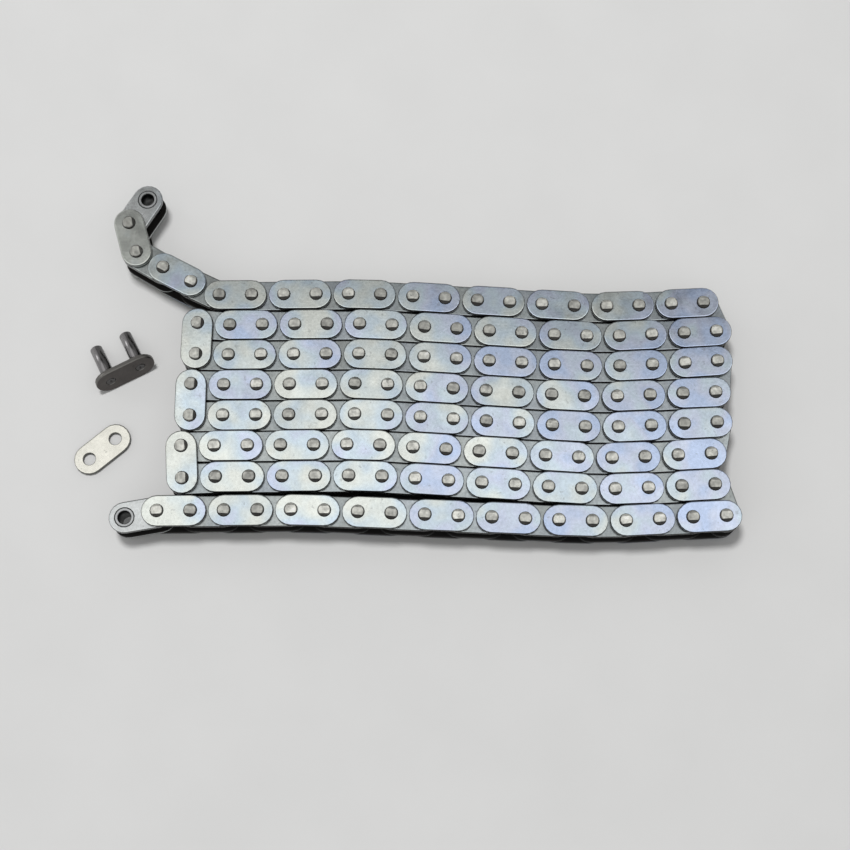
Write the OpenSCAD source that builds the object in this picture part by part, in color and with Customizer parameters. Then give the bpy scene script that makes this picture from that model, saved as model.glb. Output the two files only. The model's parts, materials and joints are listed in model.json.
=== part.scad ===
// Rollerless bush timing chain, open at both ends and laid flat in eight folded rows.
// Its connecting link stands loose beside the rows, and the cover plate of that link lies by it.
// The origin is the centre of the first end bush, halfway up the chain. Pins stand along +Z.

/* [Links] */
// Distance between the pin centres of one link
pitch = 7.774; // [7.3:0.001:8.3]
// Clear gap between the round ends of two plates that follow each other along the chain
plate_gap = 0.45; // [0.4:0.01:0.8]
// Thickness of an outer plate
outer_plate_t = 1.2; // [0.8:0.05:1.6]
// Thickness of an inner plate
inner_plate_t = 1.2; // [0.8:0.05:1.6]
// Clear width between the two plates of an inner link, where the sprocket tooth goes
inner_width = 4.7; // [3.5:0.1:6]
// Running gap between an inner plate and the outer plate beside it
side_gap = 0.1; // [0.05:0.01:0.2]
// Chamfer that tumbling leaves on the edges of a plate
plate_chamfer = 0.12; // [0.05:0.01:0.25]

/* [Pins and bushes] */
// Pin diameter
pin_d = 3; // [2.6:0.05:3.4]
// Running clearance between pin and bush, on the radius
pin_clearance = 0.05; // [0.02:0.01:0.1]
// Wall thickness of a bush
bush_wall = 0.75; // [0.5:0.05:1]
// Chamfer on the ends of a bush
bush_chamfer = 0.15; // [0.05:0.01:0.2]
// Gap left round a pin or a bush in its plate, on the radius
press_gap = 0.01; // [0.01:0.005:0.02]
// Height of a pin's staked head above the outer plate
head_h = 0.65; // [0.45:0.05:1]
// Width of the flat strip left on a head between its two staked sides
head_flat = 1.7; // [1.2:0.1:2.2]
// Depth of the staked sides at the rim of a head
stake_h = 0.45; // [0.2:0.05:0.6]

/* [Connecting link] */
// Length of a connecting pin that stands past the cover plate, for riveting over
rivet_h = 0.78; // [0.5:0.01:1.2]
// Width of the shoulder that seats a connecting pin on its plate
pin_shoulder = 0.2; // [0.16:0.01:0.3]
// Chamfer on the ends of a connecting pin
tip_chamfer = 0.25; // [0.1:0.05:0.35]
// Diameter of the centre dimple in the ends of a connecting pin
dimple_d = 1.1; // [0.6:0.1:1.2]
// Depth of the centre dimple
dimple_h = 0.35; // [0.2:0.05:0.6]
// Direction of the connecting link's plate, in degrees
connecting_turn = 27.4; // [20:0.1:40]
// Where the connecting link's plate stands along X, in pitches from the first end bush
connecting_x = -0.553; // [-0.9:0.001:-0.45]
// Where the connecting link's plate stands along Y, in pitches from the first end bush
connecting_y = -5.531; // [-6:0.001:-5]
// Direction of the loose cover plate, in degrees
cover_turn = 40.3; // [20:0.1:60]
// Where the middle of the loose cover plate lies along X, in pitches from the first end bush
cover_x = -1.209; // [-1.5:0.001:-0.9]
// Where the middle of the loose cover plate lies along Y, in pitches from the first end bush
cover_y = -7.872; // [-8.3:0.001:-7.6]

/* [Folded rows] */
// Clear gap between the plates of neighbouring rows
row_gap = 0.15; // [0.15:0.01:0.4]
// Links in a row between its two turns, an odd number
row_links = 15; // [15:2:17]
// Rise of the rows at their left ends, in degrees
left_rise = 0.5; // [0:0.1:1.5]
// Fall of the rows across their middle, in degrees
middle_fall = 3.6; // [2:0.1:4.5]
// Fall of the last row across its middle, in degrees
last_fall = 2.4; // [1.5:0.1:2.6]
// Rise of the rows at their right ends, in degrees
right_rise = 3; // [1:0.1:4]
// Lean of the links that join the middle left turn, in degrees
left_lean = 1; // [0:0.1:2]
// Where the rows start to fall, in pitches from the first end bush
fall_from = 7; // [6:0.1:8]
// Where the last row starts to fall, in pitches from the first end bush
last_fall_from = 5.1; // [5:0.1:7]
// Where the rows stop falling, in pitches from the first end bush
fall_to = 13.7; // [13:0.1:14.5]

/* [Hidden] */
// Directions of the links at the loose first end, from the end bush to the first row
tail_turns = [-121, -74, -31, -28, -26];
// Directions of the links that turn at the right and at the left, and of the last link
right_turns = [-69, -96, -103, -73];
left_turns = [-91, -90, -86];
last_turn = -170;
// Length of the bends where a row starts and stops falling, in pitches
bend_from = 0.8;
bend_to = 1.6;

// Counts of links
tail_links = len(tail_turns);
folds = len(right_turns);
row_count = 2 * folds;
fold_links = 2 * row_links + 4;
link_count = tail_links + folds * fold_links;

// Sizes that follow from the sizes above
plate_h = pitch - plate_gap;
bush_bore = pin_d + 2 * pin_clearance;
bush_d = bush_bore + 2 * bush_wall;
rivet_d = pin_d - 2 * pin_shoulder;
bush_l = inner_width + 2 * inner_plate_t;
inner_plate_z = (inner_width + inner_plate_t) / 2;
outer_plate_z = bush_l / 2 + side_gap + outer_plate_t / 2;
pin_l = 2 * outer_plate_z + outer_plate_t + 2 * head_h;
floor_z = -pin_l / 2;
row_step = (plate_h + row_gap) / cos(middle_fall);
connecting_reach = bush_l + 2 * side_gap + outer_plate_t + rivet_h;
connecting_lean = atan((plate_h - pin_d) / 2 / (connecting_reach - tip_chamfer + plate_chamfer));
cut_over = 1;

// Colours of the pieces
outer_steel = "#c3cad2";
inner_steel = "#9aa0a6";
pin_steel = "#d8d2c4";
bush_steel = "#8d9297";
connecting_steel = "#6c6a60";
cover_steel = "#e2ddcb";

// Slope in degrees, at a place in pitches along X, of a row that falls from the given place
function row_slope(x, from, fall) =
    lookup(x, [
        [from - bend_from, left_rise],
        [from + bend_from, -fall],
        [fall_to - bend_from, -fall],
        [fall_to + bend_to, right_rise]
    ]);

// Angle by which the links beside a turn lean together, so that the rows lie row_step apart
function tuck(turn, slope) =
    asin((cos(turn) * tan(slope) - sin(turn) - row_step / pitch) / 2);

// Lean of the links that join a left turn: it spreads the turns, so that their plates clear each other
function left_spread(fold) =
    let (spread = 2 * tuck(left_turns[fold], left_rise) - asin((row_step - plate_h - row_gap) / pitch))
    left_lean + spread * ((folds - 2) / 2 - fold);

// Direction of link i, whose first pin is at place x along X
function link_turn(i, x) =
    let (
        fold = floor((i - tail_links) / fold_links),
        step = (i - tail_links) % fold_links,
        last = fold == folds - 1,
        from = last ? last_fall_from : fall_from,
        fall = last ? last_fall : middle_fall,
        right = row_slope(x / pitch + 0.5, fall_from, middle_fall),
        left = 180 + row_slope(x / pitch - 0.5, from, fall)
    )
    i < tail_links ? tail_turns[i] :
    i == link_count - 1 ? last_turn :
    step < row_links - 1 ? right :
    step == row_links - 1 ? right + tuck(right_turns[fold], right_rise) :
    step == row_links ? right_turns[fold] :
    step == row_links + 1 ? left - tuck(right_turns[fold], right_rise) :
    last || step <= 2 * row_links ? left :
    step == 2 * row_links + 1 ? left - tuck(left_turns[fold], left_rise) - left_spread(fold) :
    step == 2 * row_links + 2 ? left_turns[fold] :
    right + tuck(left_turns[fold], left_rise) - left_spread(fold);

// One step along link i from the place at
function link_step(i, at) = at + pitch * [cos(link_turn(i, at[0])), sin(link_turn(i, at[0]))];

// Places of the first end bush, of every pin and of the last end bush
joints = [for (i = 0, at = [0, 0]; i <= link_count; at = link_step(i, at), i = i + 1) at];

// First link of each row, and the link at each turn
function row_first(row) =
    tail_links + floor((row - 1) / 2) * fold_links + (row % 2 == 1 ? -1 : row_links + 1);
function row_last(row) =
    row == row_count ? link_count - 2 : row_first(row) + row_links;
function right_turn_link(turn) = tail_links + (turn - 1) * fold_links + row_links;
function left_turn_link(turn) = right_turn_link(turn) + row_links + 2;

// Links of a row whose number is odd, which are outer links, or even, which are inner links
function row_outer_links(row) = [for (i = [row_first(row) : row_last(row)]) if (i % 2 == 1) i];
function row_inner_links(row) = [for (i = [row_first(row) : row_last(row)]) if (i % 2 == 0) i];

// Names of the nodes
row_pieces = ["outer_plates", "pins", "inner_plates", "bushes"];

$fn = 48;

// Half of a plate's section, from its middle line to its chamfered edge
function half_section(t) = [
    [0, -t / 2],
    [plate_h / 2 - plate_chamfer, -t / 2],
    [plate_h / 2, plate_chamfer - t / 2],
    [plate_h / 2, t / 2 - plate_chamfer],
    [plate_h / 2 - plate_chamfer, t / 2],
    [0, t / 2]
];

// Round end of a plate, on the +Y side of its hole
module plate_end(t) {
    rotate_extrude(angle = 180) polygon(half_section(t));
}

// Straight middle of a plate, from one hole to the other
module plate_middle(t) {
    rotate([90, 0, 90]) linear_extrude(pitch) {
        polygon(half_section(t));
        mirror([1, 0]) polygon(half_section(t));
    }
}

// Link plate with holes at the origin and one pitch along X
module plate(t, hole_d) {
    difference() {
        union() {
            plate_middle(t);
            rotate(90) plate_end(t);
            translate([pitch, 0, 0]) rotate(-90) plate_end(t);
        }
        for (x = [0, pitch]) {
            translate([x, 0, 0]) cylinder(h = t + cut_over, d = hole_d, center = true);
        }
    }
}

// Pin with two staked sides on each head, which run along X
module pin() {
    side = pin_d / 2 + cut_over;
    drop = stake_h * (side - head_flat / 2) / (pin_d / 2 - head_flat / 2);
    intersection() {
        cylinder(h = pin_l, d = pin_d, center = true);
        rotate([90, 0, 90]) linear_extrude(2 * side, center = true) polygon([
            [-side, drop - pin_l / 2],
            [-head_flat / 2, -pin_l / 2],
            [head_flat / 2, -pin_l / 2],
            [side, drop - pin_l / 2],
            [side, pin_l / 2 - drop],
            [head_flat / 2, pin_l / 2],
            [-head_flat / 2, pin_l / 2],
            [-side, pin_l / 2 - drop]
        ]);
    }
}

// Bush with chamfered ends
module bush() {
    inside = bush_bore / 2;
    outside = bush_d / 2;
    end = bush_l / 2;
    rotate_extrude() polygon([
        [inside + bush_chamfer, -end],
        [outside - bush_chamfer, -end],
        [outside, bush_chamfer - end],
        [outside, end - bush_chamfer],
        [outside - bush_chamfer, end],
        [inside + bush_chamfer, end],
        [inside, end - bush_chamfer],
        [inside, bush_chamfer - end]
    ]);
}

// Connecting pin along +Z, whose thin end is riveted in the plate below its shoulder
module connecting_pin() {
    radius = pin_d / 2;
    low = -outer_plate_t;
    high = connecting_reach;
    rotate_extrude() polygon([
        [0, low + dimple_h],
        [dimple_d / 2, low],
        [rivet_d / 2 - tip_chamfer, low],
        [rivet_d / 2, low + tip_chamfer],
        [rivet_d / 2, press_gap],
        [radius, press_gap],
        [radius, high - tip_chamfer],
        [radius - tip_chamfer, high],
        [dimple_d / 2, high],
        [0, high - dimple_h]
    ]);
}

// Places its children on link i, with the first pin at the origin and the second along X
module on_link(i) {
    translate([joints[i][0], joints[i][1], 0]) rotate(link_turn(i, joints[i][0])) children();
}

// Places its children at both pins of a link
module at_both_pins() {
    children();
    translate([pitch, 0, 0]) children();
}

// Outer plates, pins, inner plates and bushes of the links in a list
module outer_plates(links) {
    color(outer_steel) for (i = links, side = [-1, 1]) {
        on_link(i) translate([0, 0, side * outer_plate_z]) plate(outer_plate_t, pin_d + 2 * press_gap);
    }
}

module pins(links) {
    color(pin_steel) for (i = links) {
        on_link(i) at_both_pins() pin();
    }
}

module inner_plates(links) {
    color(inner_steel) for (i = links, side = [-1, 1]) {
        on_link(i) translate([0, 0, side * inner_plate_z]) plate(inner_plate_t, bush_d + 2 * press_gap);
    }
}

module bushes(links) {
    color(bush_steel) for (i = links) {
        on_link(i) at_both_pins() bush();
    }
}

// Stands the connecting link on the long edge of its plate and on the tips of its pins
module stand_connecting_link() {
    rise = plate_h / 2 * cos(connecting_lean) - plate_chamfer * sin(connecting_lean);
    back = plate_h / 2 * sin(connecting_lean);
    translate([connecting_x * pitch, connecting_y * pitch, floor_z + rise])
        rotate(connecting_turn)
            translate([-pitch / 2, back, 0])
                rotate([-90 - connecting_lean, 0, 0])
                    children();
}

module connecting_plate() {
    color(connecting_steel) stand_connecting_link()
        translate([0, 0, -outer_plate_t / 2]) plate(outer_plate_t, rivet_d + 2 * press_gap);
}

module connecting_pins() {
    color(connecting_steel) stand_connecting_link() at_both_pins() connecting_pin();
}

module cover_plate() {
    color(cover_steel)
        translate([cover_x * pitch, cover_y * pitch, floor_z + outer_plate_t / 2])
            rotate(cover_turn)
                translate([-pitch / 2, 0, 0])
                    plate(outer_plate_t, pin_d + 2 * press_gap);
}

// Rows, counted from the first end
for (row = [1 : row_count]) {
    outer_plates(row_outer_links(row));
    pins(row_outer_links(row));
    inner_plates(row_inner_links(row));
    bushes(row_inner_links(row));
}

// Inner links that turn the chain at the right
for (turn = [1 : folds]) {
    links = [right_turn_link(turn)];
    inner_plates(links);
    bushes(links);
}

// Outer links that turn the chain at the left
for (turn = [1 : folds - 1]) {
    links = [left_turn_link(turn)];
    outer_plates(links);
    pins(links);
}

// Links at the two ends
inner_plates([0]);  // first_end_inner_plates
bushes([0]);  // first_end_bushes
outer_plates([1]);  // tail_link_2_outer_plates
pins([1]);  // tail_link_2_pins
inner_plates([2]);  // tail_link_3_inner_plates
bushes([2]);  // tail_link_3_bushes
outer_plates([3]);  // tail_link_4_outer_plates
pins([3]);  // tail_link_4_pins
inner_plates([link_count - 1]);  // last_end_inner_plates
bushes([link_count - 1]);  // last_end_bushes

// Connecting link and its cover plate
connecting_plate();
connecting_pins();
cover_plate();
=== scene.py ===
"""Dresses a laid timing chain.

The plates, staked pins and bushes of every link are made anew at the places of their CAD solids, and so are the
loose connecting link and its cover plate.
"""

import json
import logging
import math
from dataclasses import dataclass, field
from enum import Enum
from typing import Dict, List, Optional, Sequence, Tuple, Union

import bpy
import numpy as np
from mathutils import Matrix, Vector


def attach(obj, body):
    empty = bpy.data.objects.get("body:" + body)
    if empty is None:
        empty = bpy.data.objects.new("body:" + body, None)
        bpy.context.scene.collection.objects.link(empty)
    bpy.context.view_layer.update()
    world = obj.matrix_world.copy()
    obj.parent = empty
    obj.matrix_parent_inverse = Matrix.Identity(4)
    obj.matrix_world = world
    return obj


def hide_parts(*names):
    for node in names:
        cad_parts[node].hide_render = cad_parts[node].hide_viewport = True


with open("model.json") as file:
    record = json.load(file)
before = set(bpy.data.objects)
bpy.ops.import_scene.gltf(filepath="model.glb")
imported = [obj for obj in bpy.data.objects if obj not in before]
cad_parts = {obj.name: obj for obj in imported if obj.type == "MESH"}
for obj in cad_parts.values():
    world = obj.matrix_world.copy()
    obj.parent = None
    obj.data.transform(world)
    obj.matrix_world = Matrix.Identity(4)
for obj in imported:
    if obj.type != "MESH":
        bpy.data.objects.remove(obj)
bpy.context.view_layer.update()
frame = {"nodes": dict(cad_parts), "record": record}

MM = 0.001
SAME_SPOT = 0.001 * MM
LEVEL_DIGITS = 5
FIRST_SEED = 100
SEEDS_PER_BODY = 2
LOG = logging.getLogger("timing_chain")

Colour = Tuple[float, float, float]
Value = Union[float, int, str, bpy.types.NodeSocket, Sequence[float]]
Key = Union[int, str]
Direction = Tuple[float, float, float]


class PieceKind(Enum):
    """The kinds of piece that a link is made of. The value ends the names of their nodes."""

    OUTER_PLATE = "outer_plates"
    INNER_PLATE = "inner_plates"
    PIN = "pins"
    BUSH = "bushes"


def connect(tree: bpy.types.NodeTree, node: bpy.types.Node, key: Key, value: Value) -> None:
    """Feeds one input of a node.

    Args:
        tree: The tree that holds the node.
        node: The node to feed.
        key: Name or number of its input.
        value: A socket to link, or a plain value to set.
    """
    socket = node.inputs[key]
    if isinstance(value, bpy.types.NodeSocket):
        tree.links.new(value, socket)
    else:
        socket.default_value = value


def add_node(tree: bpy.types.NodeTree, kind: str, settings: Dict[str, object],
             inputs: Dict[Key, Value]) -> bpy.types.Node:
    """Adds a node to a tree.

    Args:
        tree: The tree to add to.
        kind: Type name of the node.
        settings: Properties of the node.
        inputs: Values or sockets for its inputs.

    Returns:
        The new node.
    """
    node = tree.nodes.new(kind)
    for name, value in settings.items():
        setattr(node, name, value)
    for key, value in inputs.items():
        connect(tree, node, key, value)
    return node


class ShapeTree:
    """A geometry node tree that makes one shape from named sizes and sets a copy on every point.

    UPRIGHT_BELOW, SLOPING_BELOW and LEVEL_ABOVE are limits of steepness, which is 0 on upright faces and 1 on
    level ones. SIDE_SHADE_BLEND is how far the painted shade on the side away from the light fades into the lit
    side.
    OFF_MIDDLE is how far from the chain's middle plane a face is no longer in the middle.
    """

    UPRIGHT_BELOW = 0.35
    SLOPING_BELOW = 0.95
    LEVEL_ABOVE = 0.985
    SIDE_SHADE_BLEND = 0.25
    OFF_MIDDLE = MM
    WELD_DISTANCE = 1e-7

    def __init__(self, name: str) -> None:
        """Starts the tree.

        Args:
            name: Name of the tree.
        """
        self.tree = bpy.data.node_groups.new(name, "GeometryNodeTree")
        for way in ("INPUT", "OUTPUT"):
            self.tree.interface.new_socket("Geometry", in_out=way, socket_type="NodeSocketGeometry")
        self.entry = self.tree.nodes.new("NodeGroupInput")
        self.exit = self.tree.nodes.new("NodeGroupOutput")

    def entrance(self, name: str, kind: str = "NodeSocketFloat") -> bpy.types.NodeSocket:
        """Adds a named input.

        Args:
            name: Name of the input.
            kind: Its socket type.

        Returns:
            The socket that carries its value inside the tree.
        """
        self.tree.interface.new_socket(name, in_out="INPUT", socket_type=kind)
        return self.entry.outputs[name]

    def node(self, kind: str, settings: Optional[Dict[str, object]] = None,
             inputs: Optional[Dict[Key, Value]] = None) -> bpy.types.Node:
        """Adds a node; see add_node."""
        return add_node(self.tree, kind, settings or {}, inputs or {})

    def math(self, operation: str, *values: Value) -> bpy.types.NodeSocket:
        """Adds a sum.

        Args:
            operation: Name of the operation.
            values: Its terms.

        Returns:
            The socket with the result.
        """
        inputs = dict(enumerate(values))
        return self.node("ShaderNodeMath", {"operation": operation}, inputs).outputs[0]

    def position(self) -> Tuple[bpy.types.NodeSocket, ...]:
        """Returns the sockets of a point's x, y and z."""
        place = self.node("GeometryNodeInputPosition").outputs[0]
        return tuple(self.node("ShaderNodeSeparateXYZ", {}, {0: place}).outputs)

    def vector(self, x: Value, y: Value, z: Value) -> bpy.types.NodeSocket:
        """Returns the socket of a vector made from its three parts."""
        return self.node("ShaderNodeCombineXYZ", {}, {0: x, 1: y, 2: z}).outputs[0]

    def pick(self, index: bpy.types.NodeSocket, values: Sequence[Value]) -> bpy.types.NodeSocket:
        """Picks one of several values.

        Args:
            index: Socket with the number of the value.
            values: The values to pick from.

        Returns:
            The socket with the value picked.
        """
        switch = self.node("GeometryNodeIndexSwitch", {"data_type": "FLOAT"})
        while len(switch.index_switch_items) < len(values):
            switch.index_switch_items.new()
        connect(self.tree, switch, 0, index)
        for number, value in enumerate(values):
            connect(self.tree, switch, number + 1, value)
        return switch.outputs[0]

    def lathe(self, sides: int, rings: Sequence[Tuple[Value, Value]],
              closed: bool = False) -> bpy.types.NodeSocket:
        """Turns a profile round Z.

        Args:
            sides: Number of sides.
            rings: Radius and height of each ring, from the lowest up.
            closed: Whether the last ring meets the first, as in a tube.

        Returns:
            The socket with the turned mesh.
        """
        steps = len(rings) - 1
        blank = self.node("GeometryNodeMeshCylinder", {"fill_type": "NONE" if closed else "NGON"},
                          {"Vertices": sides, "Side Segments": steps, "Radius": 1.0, "Depth": 1.0})
        x, y, z = self.position()
        level = self.math("MULTIPLY", self.math("ADD", z, 0.5), float(steps))
        ring = self.node("FunctionNodeFloatToInt", {"rounding_mode": "ROUND"}, {0: level}).outputs[0]
        radius = self.pick(ring, [r for r, _ in rings])
        height = self.pick(ring, [h for _, h in rings])
        place = self.vector(self.math("MULTIPLY", x, radius), self.math("MULTIPLY", y, radius), height)
        mesh = self.moved(blank.outputs["Mesh"], place)
        if closed:
            weld = {"Geometry": mesh, "Distance": self.WELD_DISTANCE}
            mesh = self.node("GeometryNodeMergeByDistance", {}, weld).outputs[0]
        return mesh

    def moved(self, mesh: bpy.types.NodeSocket, place: bpy.types.NodeSocket) -> bpy.types.NodeSocket:
        """Returns the mesh with every point at its new place."""
        return self.node("GeometryNodeSetPosition", {}, {"Geometry": mesh, "Position": place}).outputs[0]

    def placed(self, mesh: bpy.types.NodeSocket, shift: Value = (0, 0, 0),
               turn: Value = (0, 0, 0)) -> bpy.types.NodeSocket:
        """Returns a copy of the mesh, turned and then shifted."""
        inputs = {"Geometry": mesh, "Translation": shift, "Rotation": turn}
        return self.node("GeometryNodeTransform", {}, inputs).outputs[0]

    def cut(self, mesh: bpy.types.NodeSocket, cutters: Sequence[bpy.types.NodeSocket]) -> bpy.types.NodeSocket:
        """Cuts other meshes out of a mesh.

        Args:
            mesh: The mesh to cut.
            cutters: The meshes to take away.

        Returns:
            The socket with what is left.
        """
        knife = self.node("GeometryNodeMeshBoolean", {"operation": "DIFFERENCE", "solver": "EXACT"},
                          {"Mesh 1": mesh})
        for cutter in cutters:
            self.tree.links.new(cutter, knife.inputs["Mesh 2"])
        return knife.outputs["Mesh"]

    def facing(self, way: Direction) -> bpy.types.NodeSocket:
        """Returns the socket with how far a face's normal points one way, from -1 to 1."""
        normal = self.node("GeometryNodeInputNormal").outputs[0]
        product = self.node("ShaderNodeVectorMath", {"operation": "DOT_PRODUCT"}, {0: normal, 1: way})
        return product.outputs["Value"]

    def rise(self) -> bpy.types.NodeSocket:
        """Returns the socket with the z of a face's normal."""
        return self.facing((0.0, 0.0, 1.0))

    def steepness(self) -> bpy.types.NodeSocket:
        """Returns the socket that is 1 on level faces and 0 on upright ones."""
        return self.math("ABSOLUTE", self.rise())

    def marked(self, mesh: bpy.types.NodeSocket, name: str, value: bpy.types.NodeSocket,
               domain: str) -> bpy.types.NodeSocket:
        """Returns the geometry with a named number stored on it."""
        return self.node("GeometryNodeStoreNamedAttribute", {"data_type": "FLOAT", "domain": domain},
                         {"Geometry": mesh, "Name": name, "Value": value}).outputs[0]

    def finish(self, shape: bpy.types.NodeSocket, smooth_below: float,
               shaded_side: Direction = (0.5, -0.85, 0.0), lit_share: float = 1.0,
               bevel_darkness: float = 0.0, low_shade_share: Value = 1.0, foot_darkness: float = 0.0) -> None:
        """Smooths the shape, sets a copy on every point, marks its darkened faces, oily cut edges and painted
        shade, and closes the tree.

        Args:
            shape: The socket with the finished shape.
            smooth_below: Steepness under which faces are shaded smooth.
            shaded_side: The way that the sloping faces look which get the most painted shade, away from the
                light.
            lit_share: Share of that painted shade on the sloping faces that look the other way, towards the
                light.
            bevel_darkness: How dark its nearly level faces are, from 0 to 1.
            low_shade_share: Share of the darkness on faces below the middle; under 1 it paints floor light on
                them.
            foot_darkness: How dark those faces are at least.
        """
        material = self.entrance("Material", "NodeSocketMaterial")
        wobble = self.entrance("Turn spread")
        # Inputs for the darkening: oil on cut edges, and painted shade on edges, slopes and hidden faces.
        edge = self.entrance("Edge dirt")
        inside = self.entrance("Inside dirt")
        sloping = self.entrance("Slope dirt")
        seed = self.entrance("Seed", "NodeSocketInt")
        round_faces = self.math("LESS_THAN", self.steepness(), smooth_below)
        shape = self.node("GeometryNodeSetShadeSmooth", {"domain": "FACE"},
                          {"Geometry": shape, "Selection": round_faces}).outputs[0]
        number = {"data_type": "FLOAT"}
        turn = self.node("GeometryNodeInputNamedAttribute", number, {"Name": "turn"}).outputs[0]
        drift = self.node("FunctionNodeRandomValue", number, {2: -1.0, 3: 1.0, "Seed": seed})
        turn = self.math("MULTIPLY_ADD", drift.outputs[1], wobble, turn)
        spin = self.node("FunctionNodeEulerToRotation", {}, {0: self.vector(0.0, 0.0, turn)}).outputs[0]
        copies = self.node("GeometryNodeInstanceOnPoints", {},
                           {"Points": self.entry.outputs["Geometry"], "Instance": shape, "Rotation": spin})
        tint = self.node("FunctionNodeRandomValue", number, {2: 0.0, 3: 1.0, "Seed": seed})
        tinted = self.marked(copies.outputs[0], "tint", tint.outputs[1], "INSTANCE")
        real = self.node("GeometryNodeRealizeInstances", {}, {"Geometry": tinted}).outputs[0]
        # Faces that look towards the chain's middle plane, hidden between the plates, get painted shade.
        outward = self.math("MULTIPLY", self.rise(), self.position()[2])
        inward = self.math("LESS_THAN", outward, -self.OFF_MIDDLE)
        # Upright faces take the edge colour: oily cut edges, and painted shade where they stand in the gaps
        # between parts.
        upright = self.math("MULTIPLY", self.math("LESS_THAN", self.steepness(), self.UPRIGHT_BELOW), edge)
        # Sloping faces (stakes, corners, chamfers) get painted shade, most on the side that looks away from the
        # light.
        blend = {0: self.facing(shaded_side), 1: -self.SIDE_SHADE_BLEND, 2: self.SIDE_SHADE_BLEND, 3: lit_share, 4: 1.0}
        side_shade = self.node("ShaderNodeMapRange", {}, blend).outputs[0]
        slope = self.math("MULTIPLY", self.math("LESS_THAN", self.steepness(), self.SLOPING_BELOW),
                          self.math("MULTIPLY", side_shade, sloping))
        # Nearly level faces, such as a pin head's bevel, are darkened.
        bevel = self.math("MULTIPLY", self.math("LESS_THAN", self.steepness(), self.LEVEL_ABOVE), bevel_darkness)
        bevel = self.math("MULTIPLY", self.math("GREATER_THAN", self.steepness(), self.SLOPING_BELOW), bevel)
        # Below the middle only a share of the darkness is kept: lighter lower edges are painted floor light.
        low = self.math("LESS_THAN", self.position()[2], -self.OFF_MIDDLE)
        kept = self.math("MULTIPLY_ADD", low, self.math("SUBTRACT", low_shade_share, 1.0), 1.0)
        # Oil on cut edges and painted shade, together.
        worn_and_shaded = self.math("MULTIPLY", self.math("MAXIMUM", self.math("MAXIMUM", upright, slope), bevel), kept)
        dirt_and_shade = self.math("MAXIMUM", self.math("MAXIMUM", worn_and_shaded, self.math("MULTIPLY", low, foot_darkness)),
                         self.math("MULTIPLY", inward, inside))
        # The stored mark: oily cut edges plus painted shade, most of all on faces between the plates.
        dressed = self.node("GeometryNodeSetMaterial", {},
                            {"Geometry": self.marked(real, "rim", dirt_and_shade, "FACE"), "Material": material})
        self.tree.links.new(dressed.outputs[0], self.exit.inputs[0])

    def make(self, name: str, points: np.ndarray, values: Dict[str, object]) -> bpy.types.Object:
        """Runs the tree on a set of points.

        Args:
            name: Name of the new object.
            points: One row of x, y, z and turn for each copy.
            values: Values of the named inputs.

        Returns:
            An object at the origin with a plain mesh.
        """
        seeds = bpy.data.meshes.new(name + "_points")
        seeds.from_pydata([tuple(row[:3]) for row in points], [], [])
        turns = seeds.attributes.new("turn", "FLOAT", "POINT")
        turns.data.foreach_set("value", points[:, 3].astype(np.float32))
        piece = bpy.data.objects.new(name, seeds)
        bpy.context.scene.collection.objects.link(piece)
        modifier = piece.modifiers.new("shape", "NODES")
        modifier.node_group = self.tree
        for item in self.tree.interface.items_tree:
            if item.in_out == "INPUT" and item.name in values:
                modifier[item.identifier] = values[item.name]
        ready = piece.evaluated_get(bpy.context.evaluated_depsgraph_get())
        mesh = bpy.data.meshes.new_from_object(ready)
        piece.modifiers.remove(modifier)
        piece.data = mesh
        mesh.name = name
        mesh.materials.pop(index=0)
        bpy.data.meshes.remove(seeds)
        return piece


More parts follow.
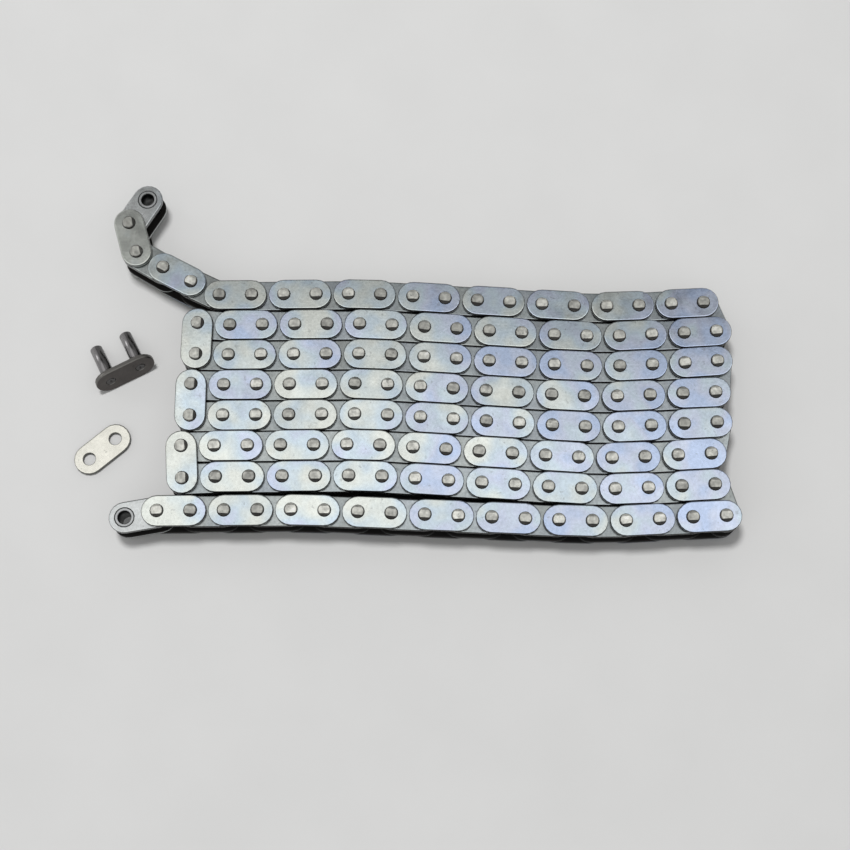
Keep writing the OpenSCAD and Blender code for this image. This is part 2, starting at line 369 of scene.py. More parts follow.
@dataclass(frozen=True)
class SteelFinish:
    """A steel surface: its colour, the thin oil and temper film on it, its grain, and the colour of its cut
    edges, which also paints shade on the faces that the geometry marks.

    Each noise has a scale, a detail and a range that shows. The film changes over two stretches of x: along the
    whole chain, and again at its left end.
    """

    FILM_DETAIL = 2.0
    FILM_RANGE = (0.34, 0.66)
    GRAIN_NOISE = (1500.0, 5.0)
    GRAIN_RANGE = (0.25, 0.75)
    SPECK_NOISE = (900.0, 1.0)
    SPECK_RANGE = (0.68, 0.74)
    SPECK_SHADE = 0.35
    SMUDGE_NOISE = (260.0, 4.0)
    SMUDGE_RANGE = (0.3, 0.7)
    SCRATCH_NOISE = (2600.0, 3.0)
    SCRATCH_TURN = (0.0, 0.0, 0.5)
    SCRATCH_STRETCH = (0.05, 1.0, 1.0)
    BUMP_STRENGTH = 0.12
    BUMP_DISTANCE = 0.04 * MM
    CHAIN_SPAN = (0.0, 140.0 * MM)
    LEFT_SPAN = (-2.0 * MM, 12.0 * MM)
    # Over this range of the mark, the surface turns from metal to the dull colour of cut edges and painted
    # shade.
    DULL_EDGE_AND_SHADE = (0.9, 1.0)
    SPECULAR = 0.1

    name: str
    tone: Colour
    films: Tuple[Colour, ...]
    film_share: float
    # Colour of the cut edges, and of the painted shade on the faces marked dark.
    rim: Colour
    roughness: float
    roughness_spread: float = 0.12
    film_scale: float = 95.0
    film_drift: float = 0.09
    end_drift: float = 0.18
    piece_spread: float = 0.08
    piece_shift: float = 1.2
    grain: float = 0.1
    scratches: float = 0.25
    specks: float = 0.3

    def material(self) -> bpy.types.Material:
        """Builds the procedural material of this finish.

        Returns:
            The new material.
        """
        material = bpy.data.materials.new(self.name)
        material.use_nodes = True
        tree = material.node_tree
        shader = tree.nodes["Principled BSDF"]
        shader.inputs["Specular IOR Level"].default_value = self.SPECULAR

        def add(kind: str, settings: Dict[str, object], inputs: Dict[Key, Value]) -> bpy.types.Node:
            """Adds a node to this material; see add_node."""
            return add_node(tree, kind, settings, inputs)

        def noise(vector: bpy.types.NodeSocket, scale: float, detail: float, w: Value) -> bpy.types.NodeSocket:
            """Returns the socket of a noise that differs from piece to piece by w."""
            return add("ShaderNodeTexNoise", {"noise_dimensions": "4D"},
                       {"Vector": vector, "W": w, "Scale": scale, "Detail": detail}).outputs["Fac"]

        def spread(value: bpy.types.NodeSocket, span: Tuple[float, float], to_low: float,
                   to_high: float) -> bpy.types.NodeSocket:
            """Returns the socket with a value mapped from one range to another."""
            inputs = {0: value, 1: span[0], 2: span[1], 3: to_low, 4: to_high}
            return add("ShaderNodeMapRange", {}, inputs).outputs[0]

        def mix(blend: str, share: Value, a: Value, b: Value) -> bpy.types.NodeSocket:
            """Returns the socket of two colours mixed."""
            return add("ShaderNodeMix", {"data_type": "RGBA", "blend_type": blend},
                       {0: share, 6: a, 7: b}).outputs[2]

        place = add("ShaderNodeTexCoord", {}, {}).outputs["Object"]
        tint = add("ShaderNodeAttribute", {"attribute_name": "tint"}, {}).outputs["Fac"]
        rim = add("ShaderNodeAttribute", {"attribute_name": "rim"}, {}).outputs["Fac"]
        shift = add("ShaderNodeMath", {"operation": "MULTIPLY"}, {0: tint, 1: self.piece_shift}).outputs[0]

        across = add("ShaderNodeSeparateXYZ", {}, {0: place}).outputs[0]
        drift = spread(across, self.CHAIN_SPAN, -self.film_drift, self.film_drift)
        left = spread(across, self.LEFT_SPAN, -self.end_drift, 0.0)
        drift = add("ShaderNodeMath", {}, {0: drift, 1: left}).outputs[0]
        clouds = noise(place, self.film_scale, self.FILM_DETAIL, shift)
        film = add("ShaderNodeValToRGB", {}, {0: add("ShaderNodeMath", {}, {0: clouds, 1: drift}).outputs[0]})
        stops = film.color_ramp.elements
        while len(stops) < len(self.films):
            stops.new(0.5)
        first, last = self.FILM_RANGE
        for number, colour in enumerate(self.films):
            stops[number].position = first + (last - first) * number / (len(self.films) - 1)
            stops[number].color = (*colour, 1.0)
        colour = mix("MIX", self.film_share, (*self.tone, 1.0), film.outputs[0])

        grain = noise(place, *self.GRAIN_NOISE, shift)
        shade = spread(grain, self.GRAIN_RANGE, 1.0 - self.grain, 1.0 + self.grain)
        own = spread(tint, (0.0, 1.0), 1.0 - self.piece_spread, 1.0 + self.piece_spread)
        level = add("ShaderNodeMath", {"operation": "MULTIPLY"}, {0: shade, 1: own}).outputs[0]
        grey = add("ShaderNodeCombineColor", {}, {0: level, 1: level, 2: level}).outputs[0]
        colour = mix("MULTIPLY", 1.0, colour, grey)

        dots = noise(place, *self.SPECK_NOISE, shift)
        speck = spread(dots, self.SPECK_RANGE, 0.0, self.specks)
        colour = mix("MIX", speck, colour, (*[c * self.SPECK_SHADE for c in self.tone], 1.0))
        # Marked faces take the edge colour and turn dull: oily cut edges, and painted shade in gaps, stakes and
        # hidden faces.
        colour = mix("MIX", rim, colour, (*self.rim, 1.0))
        connect(tree, shader, "Base Color", colour)
        connect(tree, shader, "Metallic", spread(rim, self.DULL_EDGE_AND_SHADE, 1.0, 0.0))

        stretch = add("ShaderNodeMapping", {},
                      {"Vector": place, "Rotation": self.SCRATCH_TURN, "Scale": self.SCRATCH_STRETCH})
        lines = noise(stretch.outputs[0], *self.SCRATCH_NOISE, shift)
        smudges = noise(place, *self.SMUDGE_NOISE, shift)
        rough = spread(smudges, self.SMUDGE_RANGE, self.roughness - self.roughness_spread,
                       self.roughness + self.roughness_spread)
        connect(tree, shader, "Roughness", rough)
        heights = add("ShaderNodeMath", {"operation": "MULTIPLY_ADD"}, {0: lines, 1: self.scratches, 2: grain})
        bump = add("ShaderNodeBump", {}, {"Strength": self.BUMP_STRENGTH, "Distance": self.BUMP_DISTANCE,
                                          "Height": heights.outputs[0]})
        connect(tree, shader, "Normal", bump.outputs[0])
        return material


@dataclass
class LinkSizes:
    """Sizes of the links, in metres, and how far their stakes are turned at random, in radians."""

    pitch: float = 7.774 * MM
    plate_height: float = 7.324 * MM
    plate_thickness: float = 1.2 * MM
    edge_round: float = 0.12 * MM
    edge_roll: float = 0.27 * MM
    pin_radius: float = 1.5 * MM
    pin_length: float = 11.0 * MM
    head_flat: float = 1.7 * MM
    stake_depth: float = 0.45 * MM
    stake_spread: float = math.radians(5.0)
    head_bevel: float = 0.05 * MM
    press_gap: float = 0.01 * MM
    hole_round: float = 0.13 * MM
    bush_bore: float = 1.55 * MM
    bush_radius: float = 2.3 * MM
    bush_length: float = 7.1 * MM
    bush_chamfer: float = 0.15 * MM
    rivet_radius: float = 1.3 * MM
    connecting_reach: float = 9.28 * MM
    tip_chamfer: float = 0.25 * MM
    dimple_radius: float = 0.55 * MM
    dimple_depth: float = 0.35 * MM


class LinkShapes:
    """The node trees of the four kinds of link piece and of the connecting pin.

    EDGE_DROP is how far a plate's edge has dropped at its corner ring, as a share of its rounding. HOLE_FLARE
    is how far a hole's mouth widens, and HEAD_TAPER how far a pin's head narrows, both as shares of their
    depth.
    POINT is the radius of a dimple's bottom, as a share of the dimple's.
    """

    EDGE_DROP = 0.17
    HOLE_FLARE = 2.0
    HEAD_TAPER = 4.0
    POINT = 0.1
    PLATE_SIDES = 22
    HOLE_SIDES = 16
    PIN_SIDES = 16
    BUSH_SIDES = 16

    def __init__(self, sizes: LinkSizes) -> None:
        """Builds the trees.

        Args:
            sizes: Sizes of the links.
        """
        self.sizes = sizes
        self.plate_tree = self._plate()
        self.pin_tree = self._pin()
        self.bush_tree = self._bush()
        self.connecting_pin_tree = self._connecting_pin()

    def _plate(self) -> ShapeTree:
        """Builds a plate with two round ends, rounded edges and two holes.

        Returns:
            The plate's tree.
        """
        shape = ShapeTree("link_plate")
        pitch, height, thick = (shape.entrance(n) for n in ("Pitch", "Height", "Thickness"))
        edge, roll = (shape.entrance(n) for n in ("Edge round", "Edge roll"))
        hole, sink = (shape.entrance(n) for n in ("Hole radius", "Hole round"))
        radius = shape.math("MULTIPLY", height, 0.5)
        top = shape.math("MULTIPLY", thick, 0.5)
        bottom = shape.math("MULTIPLY", thick, -0.5)
        flat = shape.math("SUBTRACT", radius, roll)
        corner = shape.math("SUBTRACT", radius, edge)
        drop = shape.math("MULTIPLY_ADD", edge, -self.EDGE_DROP, top)
        upper = [(radius, shape.math("SUBTRACT", top, edge)), (corner, drop), (flat, top)]
        lower = [(corner, bottom), (radius, shape.math("ADD", bottom, edge))]
        disc = shape.lathe(self.PLATE_SIDES, lower + upper)
        x, y, z = shape.position()
        half_turn_sides = (self.PLATE_SIDES - 2) // 2
        stretch = (half_turn_sides + 1) / half_turn_sides
        turn = shape.math("MULTIPLY", shape.math("ARCTAN2", y, shape.math("ABSOLUTE", x)), stretch)
        square = shape.math("MULTIPLY_ADD", x, x, shape.math("MULTIPLY", y, y))
        reach = shape.math("SQRT", square)
        half_pitch = shape.math("MULTIPLY", pitch, 0.5)
        along = shape.math("MULTIPLY_ADD", shape.math("COSINE", turn), reach, half_pitch)
        place = shape.vector(shape.math("MULTIPLY", along, shape.math("SIGN", x)),
                             shape.math("MULTIPLY", shape.math("SINE", turn), reach), z)
        blank = shape.moved(disc, place)
        wide = shape.math("MULTIPLY_ADD", sink, self.HOLE_FLARE, hole)
        cutter = shape.lathe(self.HOLE_SIDES, [
            (hole, shape.math("SUBTRACT", bottom, sink)), (hole, shape.math("SUBTRACT", top, sink)),
            (wide, shape.math("ADD", top, sink))])
        holes = [shape.placed(cutter, shape.vector(shape.math("MULTIPLY", pitch, side), 0.0, 0.0))
                 for side in (-0.5, 0.5)]
        # Below the middle the plates keep only a share of it: painted floor light.
        # Edges and corners get oil and painted shade, a little less on the side towards the light.
        shape.finish(shape.cut(blank, holes), shape.SLOPING_BELOW, lit_share=0.85,
                     low_shade_share=shape.entrance("Low share"))
        return shape

    def _pin(self) -> ShapeTree:
        """Builds a pin whose ends are staked down on two sides.

        Returns:
            The pin's tree.
        """
        shape = ShapeTree("staked_pin")
        radius, length = (shape.entrance(n) for n in ("Radius", "Length"))
        flat, stake = (shape.entrance(n) for n in ("Head flat", "Stake depth"))
        top = shape.math("MULTIPLY", length, 0.5)
        bottom = shape.math("MULTIPLY", length, -0.5)
        bevel = shape.entrance("Head bevel")
        slim = shape.math("MULTIPLY_ADD", bevel, -self.HEAD_TAPER, radius)
        bar = shape.lathe(self.PIN_SIDES, [(slim, bottom), (radius, shape.math("ADD", bottom, bevel)),
                                           (radius, shape.math("SUBTRACT", top, bevel)), (slim, top)])
        edge = shape.math("MULTIPLY", flat, 0.5)
        slope = shape.math("ARCTAN2", stake, shape.math("SUBTRACT", radius, edge))
        half = shape.math("MULTIPLY", radius, 2.0)
        size = shape.math("MULTIPLY", radius, 4.0)
        block = shape.node("GeometryNodeMeshCube", {}, {"Size": shape.vector(size, size, size)}).outputs[0]
        shift = shape.vector(0.0, shape.math("MULTIPLY_ADD", shape.math("SINE", slope), half, edge),
                             shape.math("MULTIPLY_ADD", shape.math("COSINE", slope), half, top))
        wedge = shape.placed(block, shift, shape.vector(shape.math("MULTIPLY", slope, -1.0), 0.0, 0.0))
        turns = [(0.0, 0.0, 0.0), (0.0, 0.0, math.pi), (math.pi, 0.0, 0.0), (math.pi, 0.0, math.pi)]
        staked = shape.cut(bar, [shape.placed(wedge, turn=turn) for turn in turns])
        # The head's bevel is darkened.
        # The stakes get painted shade, darkest on the side away from the light, and some oil.
        shape.finish(staked, shape.UPRIGHT_BELOW, lit_share=0.35, bevel_darkness=0.75)
        return shape

    def _bush(self) -> ShapeTree:
        """Builds a bush with chamfered ends.

        Returns:
            The bush's tree.
        """
        shape = ShapeTree("bush")
        outside, inside = (shape.entrance(n) for n in ("Radius", "Bore radius"))
        length, chamfer = (shape.entrance(n) for n in ("Length", "Chamfer"))
        top = shape.math("MULTIPLY", length, 0.5)
        bottom = shape.math("MULTIPLY", length, -0.5)
        high = shape.math("SUBTRACT", top, chamfer)
        low = shape.math("ADD", bottom, chamfer)
        outer = shape.math("SUBTRACT", outside, chamfer)
        inner = shape.math("ADD", inside, chamfer)
        tube = shape.lathe(self.BUSH_SIDES, [
            (outside, low), (outside, high), (outer, top), (inner, top), (inside, high),
            (inside, low), (inner, bottom), (outer, bottom), (outside, low)], closed=True)
        shape.finish(tube, shape.SLOPING_BELOW)
        return shape

    def _connecting_pin(self) -> ShapeTree:
        """Builds a connecting pin, with its shoulder at the origin and its tip along Z.

        Returns:
            The connecting pin's tree.
        """
        shape = ShapeTree("connecting_pin")
        radius, rivet = (shape.entrance(n) for n in ("Radius", "Rivet radius"))
        reach, plate, chamfer = (shape.entrance(n) for n in ("Reach", "Thickness", "Chamfer"))
        dimple, depth = (shape.entrance(n) for n in ("Dimple radius", "Dimple depth"))
        low = shape.math("MULTIPLY", plate, -1.0)
        point = shape.math("MULTIPLY", dimple, self.POINT)
        pin = shape.lathe(self.PIN_SIDES, [
            (point, shape.math("ADD", low, depth)), (dimple, low),
            (shape.math("SUBTRACT", rivet, chamfer), low), (rivet, shape.math("ADD", low, chamfer)),
            (rivet, 0.0), (radius, 0.0),
            (radius, shape.math("SUBTRACT", reach, chamfer)), (shape.math("SUBTRACT", radius, chamfer), reach),
            (dimple, reach), (point, shape.math("SUBTRACT", reach, depth))])
        # Its rivet end, below the shoulder, is darkened.
        # Its sloping faces that look along +X get painted shade, those that look the other way none.
        shape.finish(pin, shape.SLOPING_BELOW, (1.0, 0.0, 0.0), lit_share=0.0, foot_darkness=0.75)
        return shape

    def plates(self, name: str, points: np.ndarray, hole: float, finish: bpy.types.Material, seed: int,
               edge: float = 0.95, low_shade_share: float = 1.0, inside: float = 0.0) -> bpy.types.Object:
        """Makes plates at points.

        Args:
            name: Name of the object.
            points: Rows of x, y, z and turn.
            hole: Radius of the holes.
            finish: Their material.
            seed: Seed of their tints.
            edge: How dark their edges are, with oil on the cut edges and painted shade.
            low_shade_share: Share of that on the plates in the lower half of the chain; under 1 it paints floor
                light on them.
            inside: How dark the painted shade is on the faces that look towards the middle of the chain.

        Returns:
            The new object.
        """
        s = self.sizes
        return self.plate_tree.make(name, points, {
            "Pitch": s.pitch, "Height": s.plate_height, "Thickness": s.plate_thickness,
            "Edge round": s.edge_round, "Edge roll": s.edge_roll,
            "Hole radius": hole + s.press_gap, "Hole round": s.hole_round,
            "Material": finish, "Turn spread": 0.0, "Edge dirt": edge, "Slope dirt": edge,
            "Inside dirt": inside, "Low share": low_shade_share, "Seed": seed})

    def pins(self, name: str, points: np.ndarray, finish: bpy.types.Material, seed: int) -> bpy.types.Object:
        """Makes staked pins at points.

        Args:
            name: Name of the object.
            points: Rows of x, y, z and turn.
            finish: Their material.
            seed: Seed of their tints.

        Returns:
            The new object.
        """
        s = self.sizes
        return self.pin_tree.make(name, points, {
            "Radius": s.pin_radius, "Length": s.pin_length,
            "Head flat": s.head_flat, "Stake depth": s.stake_depth, "Head bevel": s.head_bevel,
            # The pin's sides between the plates and its stakes carry painted shade, the stakes also some oil.
            "Material": finish, "Turn spread": s.stake_spread, "Edge dirt": 1.0, "Slope dirt": 0.96,
            "Inside dirt": 0.0, "Seed": seed})

    def bushes(self, name: str, points: np.ndarray, finish: bpy.types.Material, seed: int) -> bpy.types.Object:
        """Makes bushes at points.

        Args:
            name: Name of the object.
            points: Rows of x, y, z and turn.
            finish: Their material.
            seed: Seed of their tints.

        Returns:
            The new object.
        """
        s = self.sizes
        return self.bush_tree.make(name, points, {
            "Radius": s.bush_radius, "Bore radius": s.bush_bore,
            "Length": s.bush_length, "Chamfer": s.bush_chamfer,
            "Material": finish, "Turn spread": 0.0, "Edge dirt": 0.65, "Slope dirt": 0.85,
            "Inside dirt": 0.0, "Seed": seed})

    def connecting_pins(self, name: str, points: np.ndarray, finish: bpy.types.Material,
                        seed: int) -> bpy.types.Object:
        """Makes connecting pins at points.

        Args:
            name: Name of the object.
            points: Rows of x, y, z and turn.
            finish: Their material.
            seed: Seed of their tints.

        Returns:
            The new object.
        """
        s = self.sizes
        return self.connecting_pin_tree.make(name, points, {
            "Radius": s.pin_radius, "Rivet radius": s.rivet_radius, "Reach": s.connecting_reach,
            "Thickness": s.plate_thickness, "Chamfer": s.tip_chamfer,
            "Dimple radius": s.dimple_radius, "Dimple depth": s.dimple_depth,
            "Material": finish, "Turn spread": 0.0, "Edge dirt": 0.0, "Slope dirt": 0.7,
            "Inside dirt": 0.0, "Seed": seed})


def islands(node: str) -> List[np.ndarray]:
    """Splits a CAD node into its separate solids.

    Args:
        node: Name of the node.

    Returns:
        The points of each solid, one array for each.
    """
    mesh = frame["nodes"][node].data
    points = np.zeros(len(mesh.vertices) * 3)
    mesh.vertices.foreach_get("co", points)
    points = points.reshape(-1, 3)
    corners = np.zeros(len(mesh.loops), dtype=np.int64)
    mesh.loops.foreach_get("vertex_index", corners)
    steps = np.round(points / SAME_SPOT).astype(np.int64)
    spots, same = np.unique(steps, axis=0, return_inverse=True)
    triangles = same.reshape(-1)[corners].reshape(-1, 3)
    label = np.arange(len(spots))
    while True:
        lowest = label[triangles].min(axis=1)
        before = label.copy()
        for corner in range(3):
            np.minimum.at(label, triangles[:, corner], lowest)
        label = label[label]
        if np.array_equal(before, label):
            break
    owner = label[same.reshape(-1)]
    return [points[owner == number] for number in np.unique(owner)]


def middle(points: np.ndarray) -> np.ndarray:
    """Returns the middle of the box round some points."""
    return (points.min(axis=0) + points.max(axis=0)) / 2.0


def axes(points: np.ndarray) -> np.ndarray:
    """Returns the main directions of some points as columns, from the shortest reach to the longest."""
    around = points - middle(points)
    return np.linalg.eigh(around.T @ around)[1]


def link_places(node: str) -> np.ndarray:
    """Reads where the links of a plate node lie.

    Args:
        node: Name of a node of plates.

    Returns:
        One row of x, y, z and turn for each plate.
    """
    rows = []
    for plate in islands(node):
        flat = plate.copy()
        flat[:, 2] = 0.0
        axis = axes(flat)[:, -1]
        axis = axis if axis[0] >= 0.0 else -axis
        rows.append((*middle(plate), math.atan2(axis[1], axis[0])))
    return np.array(sorted(rows, key=lambda row: (round(row[2], LEVEL_DIGITS), row[0], row[1])))


def joint_places(links: np.ndarray, pitch: float) -> np.ndarray:
    """Finds the two pins of each link.

    Args:
        links: Rows of the plates of the links, upper and lower.
        pitch: Distance between the pins of a link.

    Returns:
        One row of x, y, z and turn for each pin.
    """
    upper = links[links[:, 2] > 0.0]
    rows = []
    for x, y, _, turn in upper:
        for side in (-0.5, 0.5):
            rows.append((x + math.cos(turn) * pitch * side, y + math.sin(turn) * pitch * side, 0.0, turn))
    return np.array(rows)


def hand_in(piece: bpy.types.Object, body: str, node: str) -> None:
    """Puts a piece on its body, in place of its CAD node.

    Args:
        piece: The finished piece.
        body: The body that it rides on.
        node: The node that it stands for.
    """
    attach(piece, body)
    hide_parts(node)
    LOG.info("%s rides on %s: %d faces", piece.name, body, len(piece.data.polygons))


@dataclass
class ChainBody:
    """The links of one body of the chain: a row, a turn or an end."""

    body: str
    nodes: Sequence[str]
    seed: int
    # How dark the plates' edges are (oil and painted shade), and the share of that below the middle.
    edge: float
    low_shade_share: float
    sizes: LinkSizes = field(default_factory=LinkSizes)

    def build(self, shapes: LinkShapes, finishes: Dict[PieceKind, bpy.types.Material]) -> None:
        """Makes the plates, pins and bushes of this body.

        Args:
            shapes: The shapes of the link pieces.
            finishes: The material of each kind of piece.
        """
        kinds = {kind: node for kind in PieceKind for node in self.nodes if node.endswith(kind.value)}
        for plate, joint in ((PieceKind.OUTER_PLATE, PieceKind.PIN), (PieceKind.INNER_PLATE, PieceKind.BUSH)):
            if plate not in kinds:
                continue
            links = link_places(kinds[plate])
            hole = self.sizes.pin_radius if plate is PieceKind.OUTER_PLATE else self.sizes.bush_radius
            # The faces between the plates get full painted shade.
            piece = shapes.plates("made_" + kinds[plate], links, hole, finishes[plate], self.seed, self.edge,
                                  self.low_shade_share, inside=1.0)
            hand_in(piece, self.body, kinds[plate])
            points = joint_places(links, self.sizes.pitch)
            make = shapes.pins if joint is PieceKind.PIN else shapes.bushes
            piece = make("made_" + kinds[joint], points, finishes[joint], self.seed + 1)
            hand_in(piece, self.body, kinds[joint])


@dataclass
class ConnectingLink:
    """The loose connecting link, which stands on the long edge of its plate and on the tips of its pins."""

    body: str = "connecting_link"
    plate_seed: int = 71
    pin_seed: int = 72
    edge: float = 0.6
    sizes: LinkSizes = field(default_factory=LinkSizes)

    def stance(self) -> Matrix:
        """Reads how the link stands: X from pin to pin, Z along the pins, at the plate's inner face.

        Returns:
            The matrix from the link's own frame to the part's.
        """
        first, second = (middle(pin) for pin in islands("connecting_pins"))
        points = islands("connecting_plate")[0]
        plate = middle(points)
        along = Vector(second - first).normalized()
        out = Vector(axes(points)[:, 0])
        out = out if out.dot(Vector((first + second) / 2.0 - plate)) > 0.0 else -out
        foot = Vector(plate) + out * self.sizes.plate_thickness / 2.0
        turn = Matrix((along, out.cross(along), out)).transposed().to_4x4()
        return Matrix.Translation(foot) @ turn

    def build(self, shapes: LinkShapes, plate_finish: bpy.types.Material,
              pin_finish: bpy.types.Material) -> None:
        """Makes the plate and the two pins.

        Args:
            shapes: The shapes of the link pieces.
            plate_finish: The plate's material.
            pin_finish: The pins' material.
        """
        s = self.sizes
        stance = self.stance()
        centre = np.array([[0.0, 0.0, -s.plate_thickness / 2.0, 0.0]])
        plate = shapes.plates("made_connecting_plate", centre, s.rivet_radius, plate_finish, self.plate_seed,
                              self.edge)
        ends = np.array([[side * s.pitch, 0.0, 0.0, 0.0] for side in (-0.5, 0.5)])
        pins = shapes.connecting_pins("made_connecting_pins", ends, pin_finish, self.pin_seed)
        for piece, node in ((plate, "connecting_plate"), (pins, "connecting_pins")):
            piece.data.transform(stance)
            hand_in(piece, self.body, node)


@dataclass
class CoverPlate:
    """The loose cover plate, which lies flat beside the connecting link."""

    body: str = "cover_plate"
    seed: int = 81
    sizes: LinkSizes = field(default_factory=LinkSizes)

    def build(self, shapes: LinkShapes, finish: bpy.types.Material) -> None:
        """Makes the plate.

        Args:
            shapes: The shapes of the link pieces.
            finish: Its material.
        """
        places = link_places("cover_plate")
        piece = shapes.plates("made_cover_plate", places, self.sizes.pin_radius, finish, self.seed)
        hand_in(piece, self.body, "cover_plate")


@dataclass(frozen=True)
class SkyPatch:
    """A round patch of the room with its own brightness and a soft edge, both sizes in degrees."""

    middle: Direction
    radius: float
    softness: float
    level: float

    def over(self, tree: bpy.types.NodeTree, ray: bpy.types.NodeSocket, under: Value) -> bpy.types.NodeSocket:
        """Lays the patch over the brightness of the room.

        Args:
            tree: The world's node tree.
            ray: Socket with the direction of view.
            under: Brightness under the patch.

        Returns:
            The socket with the brightness.
        """
        near = add_node(tree, "ShaderNodeVectorMath", {"operation": "DOT_PRODUCT"},
                        {0: ray, 1: Vector(self.middle).normalized()}).outputs["Value"]
        outer, inner = (math.cos(math.radians(self.radius + side * self.softness)) for side in (1.0, -1.0))
        share = add_node(tree, "ShaderNodeMapRange", {"interpolation_type": "SMOOTHSTEP"},
                         {0: near, 1: outer, 2: inner, 3: 0.0, 4: 1.0}).outputs[0]
        blend = add_node(tree, "ShaderNodeMix", {"data_type": "FLOAT"}, {0: share, 2: under, 3: self.level})
        return blend.outputs[0]


@dataclass
class Studio:
    """The floor, the light and the camera.

    fill_share is the share of the room's light that falls on dull surfaces. The key lamp gives them the rest.
    """

    floor_level: float = -5.5 * MM
    floor_size: float = 8.0
    floor_tones: Tuple[Colour, ...] = ((0.56, 0.56, 0.555), (0.605, 0.605, 0.6))
    floor_roughness: float = 0.9
    floor_specular: float = 0.1
    cloud_scale: float = 45.0
    cloud_detail: float = 6.0
    look_at: Tuple[float, float, float] = (68.2 * MM, -57.9 * MM, 5.5 * MM)
    camera_offset: Tuple[float, float, float] = (0.0, -93.1 * MM, 347.0 * MM)
    lens: float = 64.8
    sensor: float = 36.0
    near_limit: float = 10.0 * MM
    room_level: float = 0.6
    lamps: Tuple[SkyPatch, ...] = (SkyPatch((-0.087, -0.24, 1.0), 32.8, 1.4, 1.05),
                                   SkyPatch((0.2, -0.24, 1.0), 30.0, 1.4, 1.02))
    shade: SkyPatch = SkyPatch((0.0, 0.445, 1.0), 19.0, 5.0, 0.19)
    window: SkyPatch = SkyPatch((-0.84, 0.32, 0.43), 9.0, 5.0, 3.0)
    fill_share: float = 0.65
    key_power: float = 9.0
    key_size: float = 0.22
    key_offset: Tuple[float, float, float] = (-0.14, 0.2, 1.1)

    def build(self) -> None:
        """Sets up the floor, the light and the camera."""
        bpy.context.scene.view_settings.view_transform = "Standard"
        self.floor()
        self.room()
        self.key()
        self.camera()

    def floor(self) -> None:
        """Lays the pale floor."""
        half = self.floor_size / 2.0
        mesh = bpy.data.meshes.new("floor")
        corners = [(-half, -half), (half, -half), (half, half), (-half, half)]
        mesh.from_pydata([(x, y, self.floor_level) for x, y in corners], [], [(0, 1, 2, 3)])
        material = bpy.data.materials.new("pale_paper")
        material.use_nodes = True
        tree = material.node_tree
        shader = tree.nodes["Principled BSDF"]
        shader.inputs["Roughness"].default_value = self.floor_roughness
        shader.inputs["Specular IOR Level"].default_value = self.floor_specular
        place = add_node(tree, "ShaderNodeTexCoord", {}, {}).outputs["Object"]
        cloud = add_node(tree, "ShaderNodeTexNoise", {},
                         {"Vector": place, "Scale": self.cloud_scale, "Detail": self.cloud_detail})
        ramp = add_node(tree, "ShaderNodeValToRGB", {}, {0: cloud.outputs["Fac"]})
        for stop, tone in zip(ramp.color_ramp.elements, self.floor_tones):
            stop.color = (*tone, 1.0)
        connect(tree, shader, "Base Color", ramp.outputs[0])
        mesh.materials.append(material)
        floor = bpy.data.objects.new("floor", mesh)
        bpy.context.scene.collection.objects.link(floor)

    def room(self) -> None:
        """Lights the room: a window, bright patches overhead, and a dim patch that the far rows mirror."""
        world = bpy.data.worlds.new("room")
        bpy.context.scene.world = world
        world.use_nodes = True
        tree = world.node_tree
        back = tree.nodes["Background"]
        ray = add_node(tree, "ShaderNodeTexCoord", {}, {}).outputs["Generated"]
        level: Value = self.room_level
        for patch in (self.window, self.shade, *self.lamps):
            level = patch.over(tree, ray, level)
        path = add_node(tree, "ShaderNodeLightPath", {}, {})
        seen: Value = self.fill_share
        for kind in ("Is Camera Ray", "Is Glossy Ray", "Is Transmission Ray"):
            larger = add_node(tree, "ShaderNodeMath", {"operation": "MAXIMUM"},
                              {0: seen, 1: path.outputs[kind]})
            seen = larger.outputs[0]
        level = add_node(tree, "ShaderNodeMath", {"operation": "MULTIPLY"}, {0: level, 1: seen}).outputs[0]
        connect(tree, back, "Strength", level)
        back.inputs["Color"].default_value = (1.0, 1.0, 1.0, 1.0)

    def key(self) -> None:
        """Hangs a large soft lamp high behind the chain."""
        data = bpy.data.lights.new("key", "AREA")
        data.shape = "DISK"
        data.size = self.key_size
        data.energy = self.key_power
        lamp = bpy.data.objects.new("key", data)
        aim = Vector(self.look_at)
        lamp.location = aim + Vector(self.key_offset)
        lamp.rotation_euler = (aim - lamp.location).to_track_quat("-Z", "Y").to_euler()
        lamp.visible_glossy = False
        bpy.context.scene.collection.objects.link(lamp)

    def camera(self) -> None:
        """Sets the camera at the photograph's angle."""
        data = bpy.data.cameras.new("camera")
        data.lens = self.lens
        data.sensor_width = self.sensor
        data.clip_start = self.near_limit
        camera = bpy.data.objects.new("camera", data)
        aim = Vector(self.look_at)
        camera.location = aim + Vector(self.camera_offset)
        camera.rotation_euler = (aim - camera.location).to_track_quat("-Z", "Y").to_euler()
        bpy.context.scene.collection.objects.link(camera)
        bpy.context.scene.camera = camera


# The film's tints, from pale straw to blue.
FILMS = ((0.79, 0.82, 0.75), (0.71, 0.78, 0.76), (0.58, 0.71, 0.81), (0.59, 0.66, 0.85), (0.48, 0.61, 0.89))
# Near black: oily cut edges, and painted shade in the gaps, on the stakes and on the faces between the plates.
CUT_EDGE_AND_SHADE = (0.022, 0.021, 0.02)

# How dark the plates' edges are, and the share of that below the middle, in the rows and at the loose ends. The
# rows' darker edges are painted shade between the rows, which the loose ends don't get; a share below 1 is
# painted floor light on the lower plates.
ROW_EDGE_SHADE = (0.95, 0.92)
LOOSE_EDGE_SHADE = (0.72, 0.5)

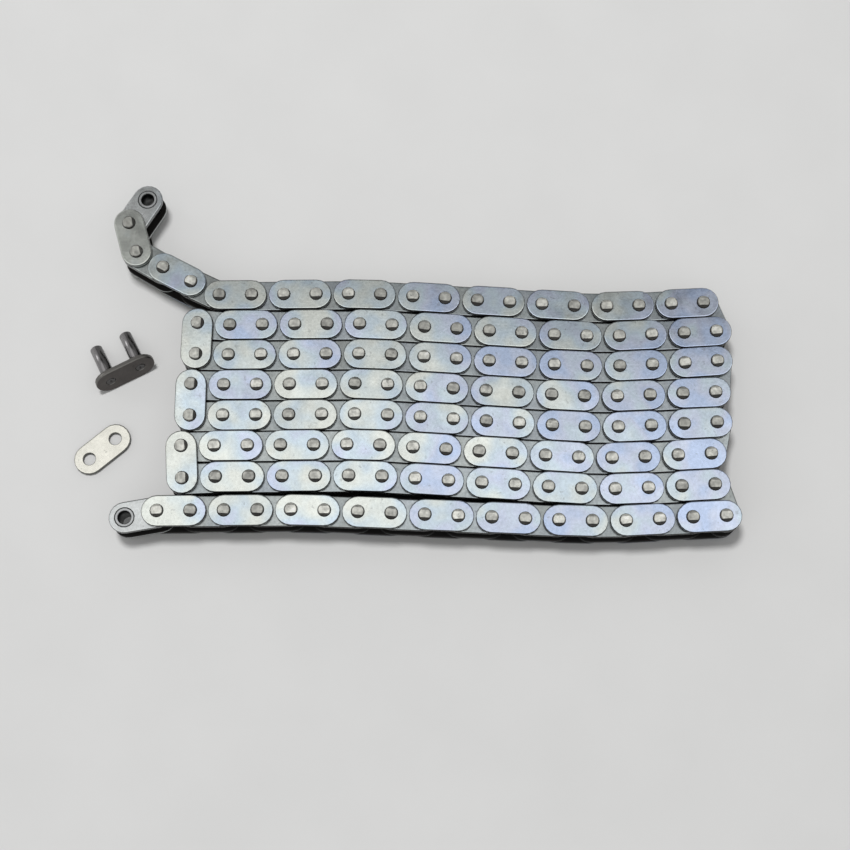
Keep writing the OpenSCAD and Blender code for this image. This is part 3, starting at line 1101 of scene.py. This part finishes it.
FINISHES = {
    PieceKind.OUTER_PLATE: SteelFinish("outer_plate_steel", (0.75, 0.78, 0.79), FILMS, 0.75, CUT_EDGE_AND_SHADE, 0.18,
                                       roughness_spread=0.06),
    # The rows' inner plates are darker than the end links' (END_PLATE_FINISH): painted shade of the recess
    # between the outer plates, and some oil.
    PieceKind.INNER_PLATE: SteelFinish("inner_plate_steel", (0.39, 0.42, 0.42), FILMS, 0.12, CUT_EDGE_AND_SHADE, 0.22,
                                       roughness_spread=0.08, grain=0.2, piece_spread=0.15),
    PieceKind.PIN: SteelFinish("pin_steel", (0.68, 0.68, 0.63), ((0.86, 0.86, 0.79), (0.44, 0.44, 0.41)), 0.75,
                               CUT_EDGE_AND_SHADE, 0.34, grain=0.3, specks=0.6, film_scale=600.0, film_drift=0.0,
                               end_drift=0.0, piece_spread=0.25, piece_shift=9.0),
    PieceKind.BUSH: SteelFinish("bush_steel", (0.50, 0.51, 0.53), FILMS, 0.2, (0.05, 0.05, 0.05), 0.35),
}
END_PLATE_FINISH = SteelFinish("end_plate_steel", (0.62, 0.64, 0.66), FILMS, 0.25, CUT_EDGE_AND_SHADE, 0.22,
                               roughness_spread=0.08)
CONNECTING_PLATE_FINISH = SteelFinish("connecting_plate_steel", (0.105, 0.095, 0.09),
                                      ((0.075, 0.068, 0.065), (0.15, 0.14, 0.135)), 0.6,
                                      (0.24, 0.235, 0.22), 0.36)
CONNECTING_PIN_FINISH = SteelFinish("connecting_pin_steel", (0.30, 0.295, 0.30),
                                    ((0.27, 0.26, 0.26), (0.33, 0.325, 0.33)), 0.5, CUT_EDGE_AND_SHADE, 0.24,
                                    roughness_spread=0.03, grain=0.05, scratches=0.1, specks=0.1)
COVER_FINISH = SteelFinish("cover_steel", (0.93, 0.92, 0.84), ((0.94, 0.92, 0.82), (0.90, 0.91, 0.88)), 0.5,
                           (0.13, 0.13, 0.12), 0.2, roughness_spread=0.06)


def main() -> None:
    """Builds every piece and the studio."""
    logging.basicConfig(level=logging.INFO, format="%(name)s: %(message)s")
    shapes = LinkShapes(LinkSizes())
    finishes = {kind: finish.material() for kind, finish in FINISHES.items()}
    # The end links' inner plates get the lighter tone, without the rows' painted recess shade.
    end_finishes = {**finishes, PieceKind.INNER_PLATE: END_PLATE_FINISH.material()}
    for number, (body, nodes) in enumerate(frame["record"]["behaviour"]["bodies"].items()):
        if body not in ("connecting_link", "cover_plate"):
            at_end = body.endswith("end_link")
            # The rows get darker edges than the loose ends and the tail: painted shade between the rows.
            edges = LOOSE_EDGE_SHADE if at_end or body.startswith("tail_link") else ROW_EDGE_SHADE
            links = ChainBody(body, nodes, FIRST_SEED + SEEDS_PER_BODY * number, *edges)
            links.build(shapes, end_finishes if at_end else finishes)
    ConnectingLink().build(shapes, CONNECTING_PLATE_FINISH.material(), CONNECTING_PIN_FINISH.material())
    CoverPlate().build(shapes, COVER_FINISH.material())
    Studio().build()


if __name__ == "__main__":
    main()
